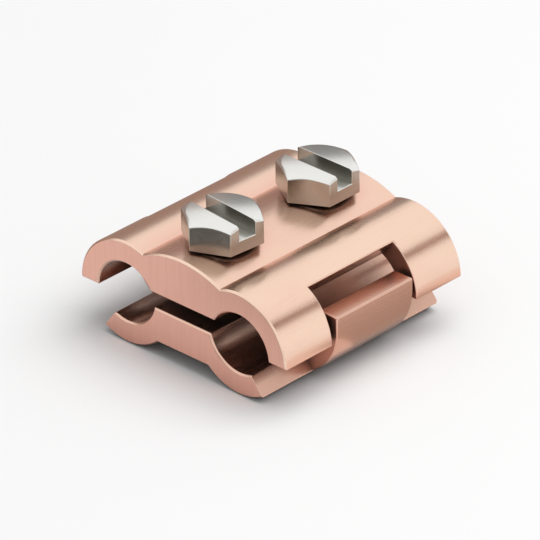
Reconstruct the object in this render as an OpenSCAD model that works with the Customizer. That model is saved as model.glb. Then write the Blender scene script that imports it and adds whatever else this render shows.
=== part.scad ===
// Splice clamp with two parallel round channels: two copper shells that interlock at
// their sides and are drawn together by two slotted hexagon screws.
// X runs across the clamp, Y along its channels and Z up. The clamp stands on the two
// round lobes of its lower shell, with the origin below its middle. Millimetres.

/* [Channels] */
// Distance between the middles of the two channels
channel_spacing = 26.5; // [25:0.5:30]
// Radius of the four grooves
groove_r = 6.8; // [6:0.1:7.2]
// Height of the channel between an upper and a lower groove
channel_h = 11.2; // [10:0.1:12.4]
// Wall around the grooves
wall = 4.25; // [3.5:0.25:5]

/* [Shells] */
// Length of both shells along the channels
body_l = 44.4; // [40:1:56]
// Height of the arch's crown above the upper grooves' axis
arch_h = 12.35; // [12:0.1:13.5]
// Radius of the arch between the upper lobes
arch_r = 20.5; // [18:0.5:24]
// Height of the upper web's flat underside above the upper grooves' axis
upper_web_rise = 3.5; // [2.5:0.25:4]
// Depth of the lower web's flat top below the lower grooves' axis
lower_web_drop = 1.7; // [1:0.1:2.5]
// Thickness of the lower web, which holds the threads
lower_web_t = 6.6; // [5:0.2:7.2]
// Height of the upper lips' lower edge above the upper grooves' axis
lip_rise = 0.2; // [0:0.1:1.5]
// Bevel on the edges of the end faces
edge_bevel = 0.35; // [0.1:0.05:0.6]

/* [Side windows and tabs] */
// Length of the window in each side of the upper shell
window_l = 21.2; // [16:0.5:24]
// Play between the end of a tab and the end of its window
tab_play = 1.05; // [0.4:0.05:1.5]
// Height of the tabs above the lower grooves' axis
tab_rise = 2.66; // [1:0.1:3.5]
// Angle, round a lobe, at which a lobe is cut off where it has no lip or tab
cut_angle = 60; // [55:1:65]
// Slope of that cut
cut_slope = 52; // [46:1:58]

/* [Screws] */
// Distance between the screws' axes
screw_spacing = 23.7; // [20:0.1:28]
// Nominal diameter of the thread
screw_d = 8; // [6:1:8]
// Length of the shank, from the bearing face to the tip
screw_l = 18; // [16:1:20]
// Width of the hexagon across its flats
across_flats = 13; // [11:0.5:14]
// Height of the hexagon
hexagon_h = 5.2; // [4.5:0.1:6]
// Height of the round bearing face below the hexagon
bearing_h = 0.4; // [0.2:0.1:0.6]
// Distance from the hexagon's flats in to the bearing face's edge
bearing_margin = 0.65; // [0.3:0.05:1]
// Distance from the hexagon's flats in to the edge of its flat top
chamfer_margin = 0.3; // [0.1:0.05:0.8]
// Chamfer on the tip of the shank
tip_chamfer = 0.8; // [0.4:0.1:1.2]
// Width of the driver slot
slot_w = 3.6; // [1.6:0.2:4]
// Depth of the driver slot
slot_depth = 2.7; // [2:0.1:3.2]
// Turn of the front screw's slot from straight across the clamp
front_screw_turn = -5.5; // [-30:0.5:30]
// Turn of the rear screw's slot from straight across the clamp
rear_screw_turn = -0.4; // [-30:0.1:30]
// Radial play of a screw in the upper shell's through hole
hole_play = 0.5; // [0.3:0.05:0.8]
// Radial play of the shank in the lower shell's threaded hole
thread_play = 0.05; // [0.02:0.01:0.1]
// Countersink round both mouths of a threaded hole
thread_sink = 0.4; // [0.2:0.1:0.8]

/* [Hidden] */
$fn = 96;

lobe_r = groove_r + wall;
axis_x = channel_spacing / 2;
body_half_w = axis_x + lobe_r;
// Heights above the surface that the lower lobes stand on
lower_axis_z = lobe_r;
upper_axis_z = lower_axis_z + channel_h - 2 * groove_r;
lower_web_z = lower_axis_z - lower_web_drop;
upper_web_z = upper_axis_z + upper_web_rise;
lip_z = upper_axis_z + lip_rise;
tab_z = lower_axis_z + tab_rise;
crown_z = upper_axis_z + arch_h;
top_z = crown_z + bearing_h + hexagon_h;

// Lowest point that the bar of the arch would reach
arch_low_z = crown_z - 2 * arch_r;

tab_l = window_l - 2 * tab_play;
end_cut_l = (body_l - tab_l) / 2;

// The thread's turns are left out: shank and threaded hole are plain at its outer diameter
shank_r = screw_d / 2;
threaded_r = shank_r + thread_play;
through_r = shank_r + hole_play;
bearing_r = across_flats / 2 - bearing_margin;
hexagon_r = across_flats / 2 / cos(30);
flat_top_r = across_flats / 2 - chamfer_margin;
chamfer_slope = 30;
// How far a cut runs past the face that it opens
over = 1;

// Moves its child to both grooves' axes, the left one mirrored
module each_side() {
  for (side = [0, 1])
    mirror([side, 0, 0])
      translate([axis_x, 0, 0])
        children();
}

module each_screw() {
  for (end = [-1, 1])
    translate([0, end * screw_spacing / 2, 0])
      children();
}

// Turns a shape that was made round Z, or extruded along it, to lie along Y
module along_y() {
  rotate([90, 0, 0])
    children();
}

// Round bar along Y, as long as the body, with bevelled ends
module bevelled_bar(r) {
  half_l = body_l / 2;
  along_y()
    rotate_extrude()
      polygon([
        [0, -half_l],
        [r - edge_bevel, -half_l],
        [r, -half_l + edge_bevel],
        [r, half_l - edge_bevel],
        [r - edge_bevel, half_l],
        [0, half_l]
      ]);
}

// What a groove takes away, flared at both ends of the body
module groove_cut() {
  half_l = body_l / 2;
  flare = edge_bevel + over;
  along_y()
    rotate_extrude()
      polygon([
        [0, -half_l - over],
        [groove_r + flare, -half_l - over],
        [groove_r, -half_l + edge_bevel],
        [groove_r, half_l - edge_bevel],
        [groove_r + flare, half_l + over],
        [0, half_l + over]
      ]);
}

// What cuts a lobe off beside its groove, from the slope outwards and down
module lobe_cut(l) {
  edge = lobe_r * [cos(cut_angle), sin(cut_angle)];
  run = [cos(cut_slope), sin(cut_slope)];
  outside = edge + wall * run;
  inside = edge - 2 * wall * run;
  far_x = lobe_r + over;
  low_z = -lobe_r - over;
  along_y()
    linear_extrude(height = l, center = true)
      polygon([inside, outside, [far_x, outside[1]], [far_x, low_z], [inside[0], low_z]]);
}

// Bevels a face's edge that runs along X at both ends of the body
module end_edge_cut(low_x, high_x) {
  side = edge_bevel * sqrt(2);
  for (end = [-1, 1])
    translate([(low_x + high_x) / 2, end * body_l / 2, 0])
      rotate([45, 0, 0])
        cube([high_x - low_x, side, side], center = true);
}

module upper_shell() {
  color("#d99a7c")
    difference() {
      union() {
        each_side()
          translate([0, 0, upper_axis_z])
            bevelled_bar(lobe_r);
        translate([0, 0, crown_z - arch_r])
          bevelled_bar(arch_r);
      }
      // Below the lips, and below the web between the grooves
      translate([-body_half_w - over, -body_l / 2 - over, arch_low_z - over])
        cube([2 * (body_half_w + over), body_l + 2 * over, lip_z - arch_low_z + over]);
      translate([-axis_x, -body_l / 2 - over, lip_z - over])
        cube([2 * axis_x, body_l + 2 * over, upper_web_z - lip_z + over]);
      translate([0, 0, upper_web_z])
        end_edge_cut(-axis_x, axis_x);
      each_side()
        translate([0, 0, upper_axis_z]) {
          groove_cut();
          lobe_cut(window_l);
          translate([0, 0, lip_rise])
            end_edge_cut(0, lobe_r + over);
        }
      each_screw()
        translate([0, 0, upper_web_z - over])
          cylinder(h = arch_h + over, r = through_r);
    }
}

// Flat bar across the lower shell, with its lower long edges bevelled
module lower_web() {
  half_l = body_l / 2;
  low_z = lower_web_z - lower_web_t;
  translate([-axis_x, 0, 0])
    rotate([90, 0, 90])
      linear_extrude(height = 2 * axis_x)
        polygon([
          [-half_l + edge_bevel, low_z],
          [half_l - edge_bevel, low_z],
          [half_l, low_z + edge_bevel],
          [half_l, lower_web_z],
          [-half_l, lower_web_z],
          [-half_l, low_z + edge_bevel]
        ]);
}

// The half of a lobe that stays: under the web's top inside its groove, all of it outside
module lower_lobe() {
  difference() {
    bevelled_bar(lobe_r);
    translate([-lobe_r - over, -body_l / 2 - over, -lower_web_drop])
      cube([lobe_r + over, body_l + 2 * over, lobe_r + lower_web_drop + over]);
    translate([-over, -body_l / 2 - over, 0])
      cube([lobe_r + 2 * over, body_l + 2 * over, lobe_r + over]);
    for (end = [-1, 1])
      translate([0, end * (body_l - end_cut_l + over) / 2, 0])
        mirror([0, 0, 1])
          lobe_cut(end_cut_l + over);
  }
}

// Upright wall that carries the lobe's outside on above the groove's axis
module tab() {
  translate([groove_r - over, -tab_l / 2, 0])
    cube([wall + over, tab_l, tab_rise]);
}

// Hole right through the web, countersunk at both mouths
module threaded_hole() {
  low_z = lower_web_z - lower_web_t;
  mouth_r = threaded_r + thread_sink + over;
  translate([0, 0, low_z - over])
    cylinder(h = lower_web_t + 2 * over, r = threaded_r);
  translate([0, 0, low_z - over])
    cylinder(h = thread_sink + over, r1 = mouth_r, r2 = threaded_r);
  translate([0, 0, lower_web_z - thread_sink])
    cylinder(h = thread_sink + over, r1 = threaded_r, r2 = mouth_r);
}

module lower_shell() {
  color("#d0917a")
    difference() {
      union() {
        lower_web();
        each_side()
          translate([0, 0, lower_axis_z]) {
            lower_lobe();
            tab();
          }
      }
      each_side()
        translate([0, 0, lower_axis_z])
          groove_cut();
      each_side()
        translate([0, -body_l / 2 - over, lower_axis_z])
          cube([groove_r, body_l + 2 * over, tab_rise + over]);
      translate([0, 0, lower_web_z])
        end_edge_cut(-axis_x, axis_x);
      each_screw()
        threaded_hole();
    }
}

// Hexagon screw with a driver slot, head up, its bearing face at z = 0
module screw() {
  hexagon_top_z = bearing_h + hexagon_h;
  chamfer_drop = (hexagon_r + over - flat_top_r) * tan(chamfer_slope);
  difference() {
    union() {
      translate([0, 0, -screw_l])
        rotate_extrude()
          polygon([
            [0, 0],
            [shank_r - tip_chamfer, 0],
            [shank_r, tip_chamfer],
            [shank_r, screw_l + bearing_h],
            [0, screw_l + bearing_h]
          ]);
      cylinder(h = bearing_h + over, r = bearing_r);
      intersection() {
        translate([0, 0, bearing_h])
          rotate([0, 0, 30])
            cylinder(h = hexagon_h, r = hexagon_r, $fn = 6);
        rotate_extrude()
          polygon([
            [0, 0],
            [hexagon_r + over, 0],
            [hexagon_r + over, hexagon_top_z - chamfer_drop],
            [flat_top_r, hexagon_top_z],
            [0, hexagon_top_z]
          ]);
      }
    }
    translate([-hexagon_r - over, -slot_w / 2, hexagon_top_z - slot_depth])
      cube([2 * (hexagon_r + over), slot_w, slot_depth + over]);
  }
}

module screw_front() {
  color("#c9c8c0")
    translate([0, -screw_spacing / 2, crown_z])
      rotate([0, 0, front_screw_turn])
        screw();
}

module screw_rear() {
  color("#c9c8c0")
    translate([0, screw_spacing / 2, crown_z])
      rotate([0, 0, rear_screw_turn])
        screw();
}

lower_shell();
upper_shell();
screw_front();
screw_rear();
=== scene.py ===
"""Splice clamp: two satin copper shells that interlock at their sides, drawn together by two
slotted hexagon screws of stainless steel. Metres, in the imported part's own frame."""

import math

import bmesh
import bpy
from mathutils import Matrix, Vector


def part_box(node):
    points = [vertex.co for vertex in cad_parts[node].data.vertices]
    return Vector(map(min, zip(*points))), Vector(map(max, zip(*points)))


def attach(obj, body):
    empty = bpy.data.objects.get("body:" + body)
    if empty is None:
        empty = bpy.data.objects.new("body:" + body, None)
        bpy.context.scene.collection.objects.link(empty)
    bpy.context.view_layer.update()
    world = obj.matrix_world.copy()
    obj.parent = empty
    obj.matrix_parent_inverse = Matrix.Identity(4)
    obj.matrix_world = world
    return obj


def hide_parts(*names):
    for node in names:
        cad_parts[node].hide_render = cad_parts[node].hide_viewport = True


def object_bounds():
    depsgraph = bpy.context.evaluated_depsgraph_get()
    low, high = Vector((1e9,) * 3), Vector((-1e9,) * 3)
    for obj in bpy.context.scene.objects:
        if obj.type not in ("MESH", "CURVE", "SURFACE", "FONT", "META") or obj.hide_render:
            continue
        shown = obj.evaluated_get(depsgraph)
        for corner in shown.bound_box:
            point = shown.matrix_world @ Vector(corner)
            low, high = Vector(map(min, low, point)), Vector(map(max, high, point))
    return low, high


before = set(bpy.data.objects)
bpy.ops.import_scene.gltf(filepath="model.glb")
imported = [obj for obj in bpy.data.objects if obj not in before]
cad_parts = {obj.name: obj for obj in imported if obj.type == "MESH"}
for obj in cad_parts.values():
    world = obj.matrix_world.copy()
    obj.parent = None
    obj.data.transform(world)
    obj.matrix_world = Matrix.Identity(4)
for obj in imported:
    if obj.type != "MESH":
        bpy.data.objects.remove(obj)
cad_low, cad_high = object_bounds()

# Lower shell: drawn copper bar with two round grooves, sawn to length and milled at its corners, so
# that a tab stands up at each side. Its web carries the screws' threads. The burrs are rubbed off
# every edge, and the drawn faces keep fine lines along the grooves.
SHELL_EDGE = 0.00032
CHAMFER_EDGE_SHARE = 0.15
ROOM_SHARE = 0.4
SQUARE_ANGLE = math.radians(60)
EDGE_SEGMENTS = 3
SHARP_ANGLE = math.radians(22)
FLAT_ANGLE = math.radians(0.6)
MERGE_DISTANCE = 1e-7
SHORT_EDGE = 0.00014
OPENNESS_SAMPLES = 12
# Its copper is darker than the upper shell's: partly a duller tone of its own, partly painted shade
# for its low place by the floor.
LOWER_COPPER = {
    "name": "Lower shell copper",
    "bright": (0.78, 0.51, 0.40, 1),
    # dull and shaded: the duller tone of random clouds, and painted shade where a face is partly shut
    # in
    "dull and shaded": (0.70, 0.44, 0.34, 1),
    "sawn": (0.82, 0.455, 0.36, 1),
    "sawn line": (0.79, 0.435, 0.342, 1),
    # painted shade colour: painted shade in recesses, under the heads and near the floor
    "painted shade colour": (0.15, 0.10, 0.082, 1),
}
DRAWN_ROUGHNESS = (0.23, 0.28)
ADDED_SAWN_ROUGHNESS = 0.12
ADDED_SHADE_ROUGHNESS = 0.15
DRAWN_LINES = (1500, 25, 1500)
SAWN_LINES = (1600, 300, 60)
CLOUDS = (90, 40, 90)
LINE_DEPTH = 6e-8
CLOUD_SHARE = 0.3
SAW_SHARE = 0.2
LINE_SPAN = (0.3, 0.7)
SAWN_LINE_SPAN = (0.45, 0.62)
CLOUD_SPAN = (0.4, 0.65)
END_FACING = (0.9, 0.95)
OFF_DRAWN_FACING = (0.25, 0.45)
# Painted shade: a mask from how far other faces, the heads and the floor shut a face in; the copper
# is painted dark and made rougher there.
PAINTED_SHADE_REACH = 0.014
PAINTED_SHADE_OPEN = 0.58
PAINTED_SHADE_SHUT_IN = 0.18


def put(tree, kind, inputs=None, **settings):
    """Adds a node to a tree, with its settings and with its inputs set to values or linked."""
    node = tree.nodes.new(kind)
    for key, value in settings.items():
        setattr(node, key, value)
    for key, value in (inputs or {}).items():
        if isinstance(value, bpy.types.NodeSocket):
            tree.links.new(value, node.inputs[key])
        else:
            node.inputs[key].default_value = value
    return node


def group(name, kind, inputs, outputs):
    """An empty node group with named sockets, and its input and output nodes."""
    tree = bpy.data.node_groups.new(name, kind)
    for socket, socket_kind, value in inputs:
        made = tree.interface.new_socket(name=socket, in_out="INPUT", socket_type=socket_kind)
        if value is not None:
            made.default_value = value
    for socket, socket_kind in outputs:
        tree.interface.new_socket(name=socket, in_out="OUTPUT", socket_type=socket_kind)
    return tree, put(tree, "NodeGroupInput"), put(tree, "NodeGroupOutput")


def worked_metal_group():
    """Fine parallel lines, and the soft clouds in which a worked metal face is duller or brighter."""
    tree, given, result = group(
        "Worked metal",
        "ShaderNodeTree",
        [
            ("Position", "NodeSocketVector", None),
            ("Lines", "NodeSocketVector", DRAWN_LINES),
            ("Clouds", "NodeSocketVector", CLOUDS),
        ],
        [("Lines", "NodeSocketFloat"), ("Clouds", "NodeSocketFloat")],
    )
    lines_at = put(
        tree,
        "ShaderNodeVectorMath",
        {0: given.outputs["Position"], 1: given.outputs["Lines"]},
        operation="MULTIPLY",
    )
    lines = put(
        tree,
        "ShaderNodeTexNoise",
        {"Vector": lines_at.outputs[0], "Scale": 1, "Detail": 3, "Roughness": 0.6},
    )
    clouds_at = put(
        tree,
        "ShaderNodeVectorMath",
        {0: given.outputs["Position"], 1: given.outputs["Clouds"]},
        operation="MULTIPLY",
    )
    clouds = put(
        tree,
        "ShaderNodeTexNoise",
        {"Vector": clouds_at.outputs[0], "Scale": 1, "Detail": 4, "Roughness": 0.55},
    )
    tree.links.new(lines.outputs["Fac"], result.inputs["Lines"])
    tree.links.new(clouds.outputs["Fac"], result.inputs["Clouds"])
    return tree


WORKED_METAL = worked_metal_group()


def recess_group():
    """Painted shade: how far a face is shut in by other faces, other parts and the floor, as a mask
    that paints it dark and a softer one that dulls it.
    """
    tree, given, result = group(
        "Recesses",
        "ShaderNodeTree",
        [
            ("Reach", "NodeSocketFloat", PAINTED_SHADE_REACH),
            ("Open", "NodeSocketFloat", PAINTED_SHADE_OPEN),
            ("Shut in", "NodeSocketFloat", PAINTED_SHADE_SHUT_IN),
        ],
        [("Painted shade mask", "NodeSocketFloat"), ("Sheltered", "NodeSocketFloat")],
    )
    openness = put(
        tree,
        "ShaderNodeAmbientOcclusion",
        {"Distance": given.outputs["Reach"]},
        samples=OPENNESS_SAMPLES,
    )
    mask = put(
        tree,
        "ShaderNodeMapRange",
        {
            "Value": openness.outputs["AO"],
            "From Min": given.outputs["Open"],
            "From Max": given.outputs["Shut in"],
        },
        interpolation_type="SMOOTHSTEP",
    )
    sheltered = put(
        tree,
        "ShaderNodeMapRange",
        {"Value": openness.outputs["AO"], "From Min": 1, "From Max": given.outputs["Open"]},
    )
    tree.links.new(mask.outputs[0], result.inputs["Painted shade mask"])
    tree.links.new(sheltered.outputs[0], result.inputs["Sheltered"])
    return tree


RECESSES = recess_group()


def new_material(name):
    """An empty node material and its output node."""
    material = bpy.data.materials.new(name)
    material.use_nodes = True
    material.node_tree.nodes.clear()
    return material, material.node_tree, put(material.node_tree, "ShaderNodeOutputMaterial")


def mixed_colours(tree, factor, first, second):
    """The colour between two others, each a value or a socket, and returned as a socket. A Mix node
    has sockets for each kind of data: its colours are inputs 6 and 7, and output 2."""
    return put(
        tree, "ShaderNodeMix", {0: factor, 6: first, 7: second}, data_type="RGBA"
    ).outputs[2]


def span(tree, value, limits, low=0, high=1):
    """A value spread evenly from low to high between two limits, and held there past them."""
    return put(
        tree,
        "ShaderNodeMapRange",
        {
            "Value": value,
            "From Min": limits[0],
            "From Max": limits[1],
            "To Min": low,
            "To Max": high,
        },
    ).outputs[0]


def copper_material(copper):
    """Satin copper: lines along the grooves, upright ones on the sawn ends, painted shade in
    recesses, under the heads and near the floor.
    """
    material, tree, surface = new_material(copper["name"])
    place = put(tree, "ShaderNodeTexCoord")
    facing = put(tree, "ShaderNodeSeparateXYZ", {"Vector": place.outputs["Normal"]})
    along = put(tree, "ShaderNodeMath", {0: facing.outputs["Y"]}, operation="ABSOLUTE")
    is_end = span(tree, along.outputs[0], END_FACING)
    off_drawn = span(tree, along.outputs[0], OFF_DRAWN_FACING)
    drawn = put(tree, "ShaderNodeGroup", node_tree=WORKED_METAL)
    tree.links.new(place.outputs["Object"], drawn.inputs["Position"])
    sawn = put(tree, "ShaderNodeGroup", node_tree=WORKED_METAL)
    tree.links.new(place.outputs["Object"], sawn.inputs["Position"])
    sawn.inputs["Lines"].default_value = SAWN_LINES
    faint_saw = put(
        tree,
        "ShaderNodeMath",
        {0: sawn.outputs["Lines"], 1: SAW_SHARE, 2: (1 - SAW_SHARE) / 2},
        operation="MULTIPLY_ADD",
    )
    recess = put(tree, "ShaderNodeGroup", node_tree=RECESSES)
    lines = put(
        tree,
        "ShaderNodeMix",
        {
            "Factor": off_drawn,
            "A": drawn.outputs["Lines"],
            "B": faint_saw.outputs[0],
        },
    )
    cloud = span(tree, drawn.outputs["Clouds"], CLOUD_SPAN, high=CLOUD_SHARE)
    # The clouds give a random duller tone; Sheltered adds painted shade where a face is partly shut
    # in.
    clouded_and_shaded = put(
        tree,
        "ShaderNodeMath",
        {0: cloud, 1: recess.outputs["Sheltered"]},
        operation="ADD",
        use_clamp=True,
    )
    drawn_colour = mixed_colours(tree, clouded_and_shaded.outputs[0], copper["bright"], copper["dull and shaded"])
    sawn_line = span(tree, sawn.outputs["Lines"], SAWN_LINE_SPAN)
    sawn_colour = mixed_colours(tree, sawn_line, copper["sawn"], copper["sawn line"])
    rubbed_colour = mixed_colours(tree, is_end, drawn_colour, sawn_colour)
    # Painted shade: dark where other faces, the heads and the floor shut a face in.
    colour = mixed_colours(tree, recess.outputs["Painted shade mask"], rubbed_colour, copper["painted shade colour"])
    roughness = span(tree, lines.outputs[0], LINE_SPAN, *DRAWN_ROUGHNESS)
    end_roughness = put(
        tree,
        "ShaderNodeMath",
        {0: is_end, 1: ADDED_SAWN_ROUGHNESS, 2: roughness},
        operation="MULTIPLY_ADD",
    )
    full_roughness = put(
        tree,
        "ShaderNodeMath",
        {0: recess.outputs["Painted shade mask"], 1: ADDED_SHADE_ROUGHNESS, 2: end_roughness.outputs[0]},
        operation="MULTIPLY_ADD",
    )
    bump = put(
        tree,
        "ShaderNodeBump",
        {"Height": lines.outputs[0], "Strength": 1, "Distance": LINE_DEPTH},
    )
    metal = put(
        tree,
        "ShaderNodeBsdfPrincipled",
        {
            "Base Color": colour,
            "Metallic": 1,
            "Roughness": full_roughness.outputs[0],
            "Normal": bump.outputs[0],
        },
    )
    tree.links.new(metal.outputs[0], surface.inputs["Surface"])
    return material


def baked(thing):
    """Turns an object's modifiers into a plain mesh of its own, and removes them."""
    bpy.context.view_layer.update()
    graph = bpy.context.evaluated_depsgraph_get()
    mesh = bpy.data.meshes.new_from_object(thing.evaluated_get(graph))
    thing.modifiers.clear()
    thing.data = mesh
    return thing


def with_round_edges(thing, width, is_edge=lambda edge: True):
    """Rounds an object's outer square edges, or those that is_edge picks, and its chamfers' edges
    less. Beside short edges the rounding narrows, so that it never runs past them. Inner edges
    stay sharp."""
    mesh = bmesh.new()
    mesh.from_mesh(thing.data)
    weight = mesh.edges.layers.float.new("bevel_weight_edge")
    for edge in mesh.edges:
        if edge.is_convex and edge.calc_face_angle() > SHARP_ANGLE and is_edge(edge):
            share = 1 if edge.calc_face_angle() > SQUARE_ANGLE else CHAMFER_EDGE_SHARE
            room = min(near.calc_length() for corner in edge.verts for near in corner.link_edges)
            edge[weight] = min(share, ROOM_SHARE * room / width)
    mesh.to_mesh(thing.data)
    mesh.free()
    bevel = thing.modifiers.new("Edges", "BEVEL")
    bevel.limit_method = "WEIGHT"
    bevel.width = width
    bevel.segments = EDGE_SEGMENTS
    bevel.use_clamp_overlap = False
    baked(thing)

    mesh = bmesh.new()
    mesh.from_mesh(thing.data)
    for edge in mesh.edges:
        rounded = edge.is_convex and is_edge(edge)
        edge.smooth = rounded or edge.calc_face_angle() < SHARP_ANGLE
    for face in mesh.faces:
        face.smooth = True
    mesh.to_mesh(thing.data)
    mesh.free()
    flat_faces = thing.modifiers.new("Flat faces", "WEIGHTED_NORMAL")
    flat_faces.mode = "FACE_AREA"
    flat_faces.keep_sharp = True
    return baked(thing)


def dressed_copy(node, name):
    """A copy of a CAD node with its seams and shortest edges merged, each flat face in one piece."""
    source = bmesh.new()
    source.from_mesh(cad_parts[node].data)
    bmesh.ops.remove_doubles(source, verts=source.verts, dist=MERGE_DISTANCE)
    bmesh.ops.dissolve_limit(
        source, angle_limit=FLAT_ANGLE, verts=source.verts, edges=source.edges
    )
    bmesh.ops.remove_doubles(source, verts=source.verts, dist=SHORT_EDGE)
    mesh = bpy.data.meshes.new(name)
    source.to_mesh(mesh)
    source.free()
    thing = bpy.data.objects.new(name, mesh)
    bpy.context.scene.collection.objects.link(thing)
    return thing


def hand_over(thing, node, material):
    """Gives a finished piece its material, its CAD body, and the node that it stands for."""
    thing.data.materials.clear()
    thing.data.materials.append(material)
    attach(thing, node)
    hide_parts(node)


lower_shell = with_round_edges(dressed_copy("lower_shell", "Lower_shell"), SHELL_EDGE)
hand_over(lower_shell, "lower_shell", copper_material(LOWER_COPPER))

# Upper shell: the same drawn copper, with an arch between its grooves that the screws' heads press
# on. A window is milled through each side for the lower shell's tab, and at both ends a lip reaches
# down past the lower shell's cut-off corner.
UPPER_COPPER = {
    "name": "Upper shell copper",
    "bright": (0.89, 0.65, 0.51, 1),
    # dull and shaded: the duller tone of random clouds, and painted shade where a face is partly shut
    # in
    "dull and shaded": (0.83, 0.52, 0.415, 1),
    "sawn": (0.80, 0.45, 0.355, 1),
    "sawn line": (0.77, 0.43, 0.337, 1),
    # painted shade colour: painted shade in recesses, under the heads and near the floor
    "painted shade colour": (0.12, 0.075, 0.058, 1),
}

SCREW_Y = 0.01185
SCREW_ROOM = 0.005


def clear_of_screws(edge):
    """True for an edge that isn't a rim of a screw's hole, which the head hides and leaves sharp."""
    return any(
        math.hypot(vertex.co.x, abs(vertex.co.y) - SCREW_Y) > SCREW_ROOM for vertex in edge.verts
    )


upper_shell = with_round_edges(
    dressed_copy("upper_shell", "Upper_shell"), SHELL_EDGE, clear_of_screws
)
hand_over(upper_shell, "upper_shell", copper_material(UPPER_COPPER))

# Front screw: stainless M8 hexagon screw, cold headed and turned, with a chamfered head, a wide
# milled driver slot, a raised round bearing face and a rolled thread right up to the head.
PITCH = 0.00125
CREST_SHARE = 1 / 16
ROOT_SHARE = 1 / 8
STEPS_PER_TURN = 16
COLUMNS = 96
HEAD_EDGE = 0.00018
CHAMFER_SLOPE = math.radians(30)
ACROSS_FLATS = 0.013
FLAT_TOP_MARGIN = 0.0003
BEARING_MARGIN = 0.00065
BEARING_HEIGHT = 0.0004
HEXAGON_HEIGHT = 0.0052
SHANK_RADIUS = 0.004
TIP_CHAMFER = 0.0008
SLOT_WIDTH = 0.0036
SLOT_DEPTH = 0.0027
FRONT_TURN = math.radians(-5.5)
STEEL = (0.80, 0.795, 0.765, 1)
# Darker, browner flats: partly a duller forged finish, partly painted shade and painted copper
# reflection.
SHADED_SIDE_STEEL = (0.48, 0.44, 0.385, 1)
# Painted shade: steel in the slot and close to the copper below the head.
PAINTED_SHADE_STEEL = (0.39, 0.385, 0.35, 1)
STEEL_REACH = 0.009
STEEL_OPEN = 0.9
STEEL_SHUT_IN = 0.45
STEEL_ROUGHNESS = (0.2, 0.26)
TURNED_LINES = (2500, 2500, 500)
TURNED_DEPTH = 4e-7
RIM_SLOPE = 0.169
UPRIGHT_FACING = (0.3, 0.1)
FLATS_INSET = (0.0002, 0.0001)
WELD_DISTANCE = 2e-6


def steel_material():
    """Satin stainless steel: fine turned rings round each screw's own axis, faces that fall away
    a little towards their rims, and darker, browner flats, partly a duller forged finish and partly
    painted shade and painted copper reflection. Painted shade darkens the slot and faces near the
    copper."""
    material, tree, surface = new_material("Turned stainless steel")
    place = put(tree, "ShaderNodeTexCoord")
    at = put(tree, "ShaderNodeSeparateXYZ", {"Vector": place.outputs["Object"]})
    end = put(tree, "ShaderNodeMath", {0: at.outputs["Y"]}, operation="ABSOLUTE")
    off_axis = put(tree, "ShaderNodeMath", {0: end.outputs[0], 1: SCREW_Y}, operation="SUBTRACT")
    flat_place = put(
        tree, "ShaderNodeCombineXYZ", {"X": at.outputs["X"], "Y": off_axis.outputs[0]}
    )
    radius = put(
        tree, "ShaderNodeVectorMath", {0: flat_place.outputs[0]}, operation="LENGTH"
    )
    turned_place = put(
        tree, "ShaderNodeCombineXYZ", {"X": radius.outputs["Value"], "Z": at.outputs["Z"]}
    )
    worked = put(tree, "ShaderNodeGroup", node_tree=WORKED_METAL)
    tree.links.new(turned_place.outputs[0], worked.inputs["Position"])
    worked.inputs["Lines"].default_value = TURNED_LINES
    roughness = span(tree, worked.outputs["Lines"], LINE_SPAN, *STEEL_ROUGHNESS)
    radius_squared = put(
        tree,
        "ShaderNodeMath",
        {0: radius.outputs["Value"], 1: radius.outputs["Value"]},
        operation="MULTIPLY",
    )
    crown = put(
        tree,
        "ShaderNodeBump",
        {
            "Height": radius_squared.outputs[0],
            "Strength": 1,
            "Distance": RIM_SLOPE / ACROSS_FLATS,
        },
        invert=True,
    )
    bump = put(
        tree,
        "ShaderNodeBump",
        {
            "Height": worked.outputs["Lines"],
            "Strength": 1,
            "Distance": TURNED_DEPTH,
            "Normal": crown.outputs[0],
        },
    )
    facing = put(tree, "ShaderNodeSeparateXYZ", {"Vector": place.outputs["Normal"]})
    slope = put(tree, "ShaderNodeMath", {0: facing.outputs["Z"]}, operation="ABSOLUTE")
    upright = span(tree, slope.outputs[0], UPRIGHT_FACING)
    outside = span(tree, radius.outputs["Value"], [ACROSS_FLATS / 2 - inset for inset in FLATS_INSET])
    flat = put(tree, "ShaderNodeMath", {0: upright, 1: outside}, operation="MULTIPLY")
    # The flats take the darker, browner steel: painted shade and painted copper reflection on a
    # duller forged finish.
    open_steel = mixed_colours(tree, flat.outputs[0], STEEL, SHADED_SIDE_STEEL)
    # Painted shade: darker steel where other faces and the copper shut a face in.
    recess = put(tree, "ShaderNodeGroup", node_tree=RECESSES)
    recess.inputs["Reach"].default_value = STEEL_REACH
    recess.inputs["Open"].default_value = STEEL_OPEN
    recess.inputs["Shut in"].default_value = STEEL_SHUT_IN
    metal = put(
        tree,
        "ShaderNodeBsdfPrincipled",
        {
            "Base Color": mixed_colours(
                tree, recess.outputs["Painted shade mask"], open_steel, PAINTED_SHADE_STEEL
            ),
            "Metallic": 1,
            "Roughness": roughness,
            "Normal": bump.outputs[0],
        },
    )
    tree.links.new(metal.outputs[0], surface.inputs["Surface"])
    return material


TURNED_STEEL = steel_material()


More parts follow.
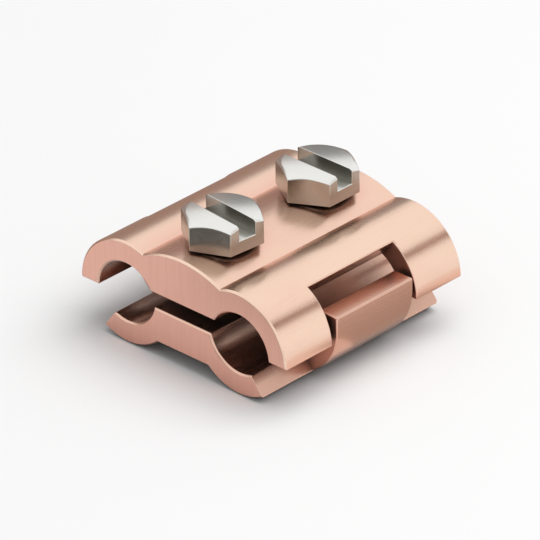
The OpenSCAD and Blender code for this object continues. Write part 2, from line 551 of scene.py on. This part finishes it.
def thread_tree():
    """Geometry Nodes: a grid wound round Z, each column a little higher than the last, so that its
    rows climb as a right-hand thread. Rows past either end are pressed onto it and merged."""
    tree, given, result = group(
        "Metric thread",
        "GeometryNodeTree",
        [
            ("Outer radius", "NodeSocketFloat", SHANK_RADIUS),
            ("Pitch", "NodeSocketFloat", PITCH),
            ("Length", "NodeSocketFloat", None),
            ("Tip chamfer", "NodeSocketFloat", TIP_CHAMFER),
            ("Columns", "NodeSocketInt", COLUMNS),
            ("Steps per turn", "NodeSocketInt", STEPS_PER_TURN),
            ("Material", "NodeSocketMaterial", None),
        ],
        [("Geometry", "NodeSocketGeometry")],
    )
    socket = given.outputs

    def math_node(operation, a, b=0.0, clamp=False):
        return put(
            tree, "ShaderNodeMath", {0: a, 1: b}, operation=operation, use_clamp=clamp
        ).outputs[0]

    turns = math_node("ADD", math_node("DIVIDE", socket["Length"], socket["Pitch"]), 1.0)
    steps = math_node("CEIL", math_node("MULTIPLY", turns, socket["Steps per turn"]))
    rows = math_node("ADD", steps, 1.0)
    grid = put(
        tree,
        "GeometryNodeMeshGrid",
        {"Vertices X": math_node("ADD", socket["Columns"], 1.0), "Vertices Y": rows},
    )
    index = put(tree, "GeometryNodeInputIndex").outputs[0]
    column = math_node("FLOOR", math_node("DIVIDE", math_node("ADD", index, 0.5), rows))
    row = math_node("SUBTRACT", index, math_node("MULTIPLY", column, rows))
    round_share = math_node("DIVIDE", column, socket["Columns"])
    angle = math_node("MULTIPLY", round_share, math.tau)
    turn = math_node("DIVIDE", row, socket["Steps per turn"])
    drop = math_node("MULTIPLY", math_node("SUBTRACT", turn, round_share), socket["Pitch"])
    below = math_node("MINIMUM", math_node("MAXIMUM", drop, 0.0), socket["Length"])

    flank_share = 0.5 - CREST_SHARE - ROOT_SHARE
    full_depth = math_node("MULTIPLY", socket["Pitch"], flank_share / math.tan(CHAMFER_SLOPE))
    from_crest = math_node("PINGPONG", turn, 0.5)
    down_flank = math_node(
        "DIVIDE", math_node("SUBTRACT", from_crest, CREST_SHARE), flank_share, clamp=True
    )
    run_out = math_node("DIVIDE", below, socket["Pitch"], clamp=True)
    depth = math_node("MULTIPLY", math_node("MULTIPLY", full_depth, down_flank), run_out)
    threaded = math_node("SUBTRACT", socket["Outer radius"], depth)
    above_tip = math_node("SUBTRACT", socket["Length"], below)
    cut_back = math_node("SUBTRACT", socket["Tip chamfer"], above_tip)
    chamfered = math_node(
        "SUBTRACT", socket["Outer radius"], math_node("MAXIMUM", cut_back, 0.0)
    )
    radius = math_node("MINIMUM", threaded, chamfered)
    place = put(
        tree,
        "ShaderNodeCombineXYZ",
        {
            "X": math_node("MULTIPLY", radius, math_node("COSINE", angle)),
            "Y": math_node("MULTIPLY", radius, math_node("SINE", angle)),
            "Z": math_node("MULTIPLY", below, -1.0),
        },
    )
    wound = put(
        tree,
        "GeometryNodeSetPosition",
        {"Geometry": grid.outputs["Mesh"], "Position": place.outputs[0]},
    )
    closed = put(
        tree,
        "GeometryNodeMergeByDistance",
        {"Geometry": wound.outputs[0], "Distance": WELD_DISTANCE},
    )
    real = put(tree, "GeometryNodeRealizeInstances", {"Geometry": closed.outputs[0]})
    dressed = put(
        tree,
        "GeometryNodeSetMaterial",
        {"Geometry": real.outputs[0], "Material": socket["Material"]},
    )
    tree.links.new(dressed.outputs[0], result.inputs["Geometry"])
    return tree


METRIC_THREAD = thread_tree()


def thread_mesh(length):
    """The thread's tube of one screw, from the bearing face down to the tip, open at both ends."""
    thing = bpy.data.objects.new("Thread", bpy.data.meshes.new("Thread"))
    bpy.context.scene.collection.objects.link(thing)
    modifier = thing.modifiers.new("Thread", "NODES")
    modifier.node_group = METRIC_THREAD
    for item in METRIC_THREAD.interface.items_tree:
        if item.in_out == "INPUT" and item.name == "Length":
            modifier[item.identifier] = length
        if item.in_out == "INPUT" and item.name == "Material":
            modifier[item.identifier] = TURNED_STEEL
    mesh = baked(thing).data
    bpy.data.objects.remove(thing)
    return mesh


def head_rings():
    """The rings of a head's surface, from its top down to the shank: radius and height by angle."""
    half_flats = ACROSS_FLATS / 2
    flat_top = half_flats - FLAT_TOP_MARGIN
    top = BEARING_HEIGHT + HEXAGON_HEIGHT
    bearing = half_flats - BEARING_MARGIN
    sixth = math.tau / 6

    def hexagon(angle):
        return half_flats / math.cos((angle + sixth / 2) % sixth - sixth / 2)

    def chamfer(angle):
        return top - (hexagon(angle) - flat_top) * math.tan(CHAMFER_SLOPE)

    return [
        (lambda angle: flat_top, lambda angle: top),
        (hexagon, chamfer),
        (hexagon, lambda angle: BEARING_HEIGHT),
        (lambda angle: bearing, lambda angle: BEARING_HEIGHT),
        (lambda angle: bearing, lambda angle: 0),
        (lambda angle: SHANK_RADIUS, lambda angle: 0),
    ]


def blank_screw(name, length):
    """A screw before its slot is milled: the head's rings, closed on top, and the thread below."""
    mesh = bmesh.new()
    mesh.from_mesh(thread_mesh(length))
    angles = [math.tau * i / COLUMNS for i in range(COLUMNS)]
    rings = [
        [mesh.verts.new((r(a) * math.cos(a), r(a) * math.sin(a), z(a))) for a in angles]
        for r, z in head_rings()
    ]
    mesh.faces.new(rings[0])
    for outer, inner in zip(rings, rings[1:]):
        for i in range(COLUMNS):
            j = (i + 1) % COLUMNS
            mesh.faces.new((outer[i], inner[i], inner[j], outer[j]))
    bmesh.ops.remove_doubles(mesh, verts=mesh.verts, dist=WELD_DISTANCE)
    rim = [edge for edge in mesh.edges if edge.is_boundary]
    bmesh.ops.contextual_create(mesh, geom=rim)
    bmesh.ops.recalc_face_normals(mesh, faces=mesh.faces)
    data = bpy.data.meshes.new(name)
    mesh.to_mesh(data)
    mesh.free()
    thing = bpy.data.objects.new(name, data)
    bpy.context.scene.collection.objects.link(thing)
    return thing


def mill_slot(thing):
    """Cuts the driver slot right across a screw's head."""
    slot = bmesh.new()
    bmesh.ops.create_cube(slot, size=1)
    top = BEARING_HEIGHT + HEXAGON_HEIGHT
    bmesh.ops.scale(slot, vec=(2 * ACROSS_FLATS, SLOT_WIDTH, 2 * SLOT_DEPTH), verts=slot.verts)
    bmesh.ops.translate(slot, vec=(0, 0, top), verts=slot.verts)
    cutter = bpy.data.objects.new("Slot", bpy.data.meshes.new("Slot"))
    slot.to_mesh(cutter.data)
    slot.free()
    bpy.context.scene.collection.objects.link(cutter)
    cut = thing.modifiers.new("Slot", "BOOLEAN")
    cut.operation = "DIFFERENCE"
    cut.solver = "EXACT"
    cut.object = cutter
    baked(thing)
    bpy.data.objects.remove(cutter)


def on_head(edge):
    """True for an edge of the head, from its bearing face up, where burrs are rubbed off."""
    return min(vertex.co.z for vertex in edge.verts) > -MERGE_DISTANCE


def join_flat_faces(thing):
    """Makes each flat face of a screw's head one piece again."""
    mesh = bmesh.new()
    mesh.from_mesh(thing.data)
    head_edges = [edge for edge in mesh.edges if on_head(edge)]
    head_corners = [vertex for vertex in mesh.verts if vertex.co.z > -MERGE_DISTANCE]
    bmesh.ops.dissolve_limit(
        mesh, angle_limit=FLAT_ANGLE, verts=head_corners, edges=head_edges
    )
    mesh.to_mesh(thing.data)
    mesh.free()


def screw(name, turn, centre, length):
    """One whole screw, turned to its own angle and set down on its bearing face."""
    thing = blank_screw(name, length)
    mill_slot(thing)
    join_flat_faces(thing)
    with_round_edges(thing, HEAD_EDGE, on_head)
    thing.data.transform(Matrix.Translation(centre) @ Matrix.Rotation(turn, 4, "Z"))
    return thing


bearing_z = cad_high.z - BEARING_HEIGHT - HEXAGON_HEIGHT
screw_length = bearing_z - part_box("screw_front")[0].z
screw_front = screw("Screw_front", FRONT_TURN, Vector((0, -SCREW_Y, bearing_z)), screw_length)
hand_over(screw_front, "screw_front", TURNED_STEEL)

# Rear screw: the same stainless M8 screw, cold headed and turned like the front one. Its slot stops
# at its own angle, where the screw came tight.
REAR_TURN = math.radians(-0.4)

screw_rear = screw("Screw_rear", REAR_TURN, Vector((0, SCREW_Y, bearing_z)), screw_length)
hand_over(screw_rear, "screw_rear", TURNED_STEEL)

# Studio: plain pale floor and a wide soft lamp over it, white all round. Dim cards, which only the
# metal's gloss sees, give it the darker bands of a studio. None of it is part of the object.
CAMERA_AZIMUTH = math.radians(43.696)
CAMERA_ELEVATION = math.radians(29.152)
CAMERA_ROLL = math.radians(-0.730)
CAMERA_DISTANCE = 0.9714
CAMERA_LENS = 375.8
CAMERA_SENSOR = 36
AIM = Vector((0, -0.0003, 0.01018))
FLOOR_SIZE = 6
FLOOR_COLOUR = (0.86, 0.86, 0.86, 1)
WORLD_GLOSS = 1.1
WORLD_FILL = 0.5
LAMP_PLACE = Vector((0.3, 0.25, 1.0))
LAMP_SIZE = 1.2
LAMP_POWER = 10.8
LEFT_DIM = (0.35, 0.26, 0.23, 1)
LEFT_HALF_DIM = (0.36, 0.30, 0.28, 1)
BACK_DIM = (0.22, 0.22, 0.21, 1)
SIDE_DIM = (0.3, 0.27, 0.25, 1)
STRIP_DIM = (0.24, 0.10, 0.07, 1)
RIGHT_DIM = (0.52, 0.42, 0.37, 1)
ROSY_DIM = (0.9, 0.72, 0.66, 1)
COOL_DIM = (0.16, 0.155, 0.15, 1)
FRONT_HALF_DIM = (0.4, 0.36, 0.34, 1)
CARD_LIFT = 0.0005


def stage_sheet(name, corners):
    """A flat stage piece through its corners, in order."""
    mesh = bpy.data.meshes.new(name)
    mesh.from_pydata(corners, [], [range(len(corners))])
    thing = bpy.data.objects.new(name, mesh)
    bpy.context.scene.collection.objects.link(thing)
    return thing


def aimed(thing, place, target):
    """Moves a thing to a place and turns its -Z axis to a target."""
    thing.location = place
    thing.rotation_mode = "QUATERNION"
    thing.rotation_quaternion = (target - place).to_track_quat("-Z", "Y")


half_floor = FLOOR_SIZE / 2
floor = stage_sheet(
    "Floor",
    [
        (-half_floor, -half_floor, 0),
        (half_floor, -half_floor, 0),
        (half_floor, half_floor, 0),
        (-half_floor, half_floor, 0),
    ],
)
floor_material, floor_tree, floor_surface = new_material("Pale floor")
floor_paint = put(floor_tree, "ShaderNodeBsdfDiffuse", {"Color": FLOOR_COLOUR})
floor_tree.links.new(floor_paint.outputs[0], floor_surface.inputs["Surface"])
floor.data.materials.append(floor_material)

lamp_data = bpy.data.lights.new("Lamp", "AREA")
lamp_data.size = LAMP_SIZE
lamp_data.energy = LAMP_POWER
lamp = bpy.data.objects.new("Lamp", lamp_data)
bpy.context.scene.collection.objects.link(lamp)
lamp.visible_camera = False
lamp.visible_glossy = False
aimed(lamp, LAMP_PLACE, AIM)


def card(name, colour, corners):
    """A dim card that only reflections see."""
    made = stage_sheet(name, corners)
    material, tree, surface = new_material(name)
    glow = put(tree, "ShaderNodeEmission", {"Color": colour})
    tree.links.new(glow.outputs[0], surface.inputs["Surface"])
    made.data.materials.append(material)
    made.visible_camera = False
    made.visible_diffuse = False
    made.visible_transmission = False
    made.visible_volume_scatter = False
    made.visible_shadow = False


def side_card(name, colour, x, near_y, far_y, low_z, high_z):
    """A dim card that stands beside the clamp, along its channels."""
    low = [(x, near_y, low_z), (x, far_y, low_z)]
    high = [(x, far_y, high_z), (x, near_y, high_z)]
    card(name, colour, low + high)


def front_card(name, colour, y, left_x, right_x, low_z, high_z):
    """A dim card that stands before the clamp, across its channels."""
    low = [(left_x, y, low_z), (right_x, y, low_z)]
    high = [(right_x, y, high_z), (left_x, y, high_z)]
    card(name, colour, low + high)


def ground_card(name, colour, lift, corners):
    """A dim card that lies just above the floor, through its corners' X and Y."""
    card(name, colour, [(x, y, lift) for x, y in corners])


side_card("Left_wall", LEFT_DIM, x=-0.25, near_y=-0.1, far_y=0.8, low_z=0, high_z=0.1)
card(
    "Left_wall_top",
    LEFT_HALF_DIM,
    [(-0.25, -0.1, 0.1), (-0.25, 0.8, 0.1), (-0.25, 0.8, 0.25), (-0.25, -0.1, 0.15)],
)
side_card("Back_screen", BACK_DIM, x=-0.249, near_y=0.255, far_y=0.37, low_z=0, high_z=0.21)
side_card("Side_screen", SIDE_DIM, x=-0.4, near_y=0.08, far_y=0.23, low_z=0.1, high_z=0.36)
ground_card(
    "Left_ground",
    LEFT_DIM,
    CARD_LIFT,
    [(-0.25, -0.1), (-0.03, -0.02), (-0.03, 0.3), (-0.25, 0.8)],
)
card(
    "Right_strip",
    STRIP_DIM,
    [(0.32, -0.2, 0.42), (0.40, -0.2, 0.33), (0.40, 0.9, 0.33), (0.32, 0.9, 0.42)],
)
ground_card(
    "Right_ground",
    RIGHT_DIM,
    CARD_LIFT,
    [(0.022, 0.0), (0.044, 0.0), (0.044, 0.03), (0.022, 0.03)],
)
ground_card(
    "Rosy_ground",
    ROSY_DIM,
    CARD_LIFT / 2,
    [(0.022, -0.025), (0.055, -0.025), (0.055, 0.065), (0.022, 0.065)],
)
ground_card(
    "Front_ground",
    COOL_DIM,
    CARD_LIFT,
    [(-0.02, -0.05), (-0.04, -0.25), (0.07, -0.25), (0.05, -0.05)],
)
front_card("Front_wall", COOL_DIM, y=-0.5, left_x=-0.9, right_x=0.22, low_z=0, high_z=0.2)
front_card(
    "Front_screen", FRONT_HALF_DIM, y=-0.5, left_x=-0.1, right_x=0.16, low_z=0.2, high_z=0.34
)

world = bpy.data.worlds.new("Studio")
world.use_nodes = True
world.node_tree.nodes.clear()
sky = world.node_tree
path = put(sky, "ShaderNodeLightPath")
seen = put(
    sky,
    "ShaderNodeMath",
    {0: path.outputs["Is Camera Ray"], 1: path.outputs["Is Transmission Ray"]},
    operation="MAXIMUM",
)
shown = put(
    sky,
    "ShaderNodeMath",
    {0: path.outputs["Is Glossy Ray"], 1: WORLD_GLOSS, 2: seen.outputs[0]},
    operation="MULTIPLY_ADD",
)
strength = put(
    sky,
    "ShaderNodeMath",
    {0: shown.outputs[0], 1: 1 - WORLD_FILL, 2: WORLD_FILL},
    operation="MULTIPLY_ADD",
)
background = put(
    sky, "ShaderNodeBackground", {"Color": (1, 1, 1, 1), "Strength": strength.outputs[0]}
)
sky_out = put(sky, "ShaderNodeOutputWorld")
sky.links.new(background.outputs[0], sky_out.inputs["Surface"])
bpy.context.scene.world = world

camera_data = bpy.data.cameras.new("Camera")
camera_data.sensor_width = CAMERA_SENSOR
camera_data.lens = CAMERA_LENS
camera = bpy.data.objects.new("Camera", camera_data)
bpy.context.scene.collection.objects.link(camera)
towards_camera = Vector(
    (
        math.sin(CAMERA_AZIMUTH) * math.cos(CAMERA_ELEVATION),
        -math.cos(CAMERA_AZIMUTH) * math.cos(CAMERA_ELEVATION),
        math.sin(CAMERA_ELEVATION),
    )
)
aimed(camera, AIM + towards_camera * CAMERA_DISTANCE, AIM)
camera.rotation_quaternion @= Matrix.Rotation(CAMERA_ROLL, 3, "Z").to_quaternion()
bpy.context.scene.camera = camera
bpy.context.scene.view_settings.view_transform = "Standard"
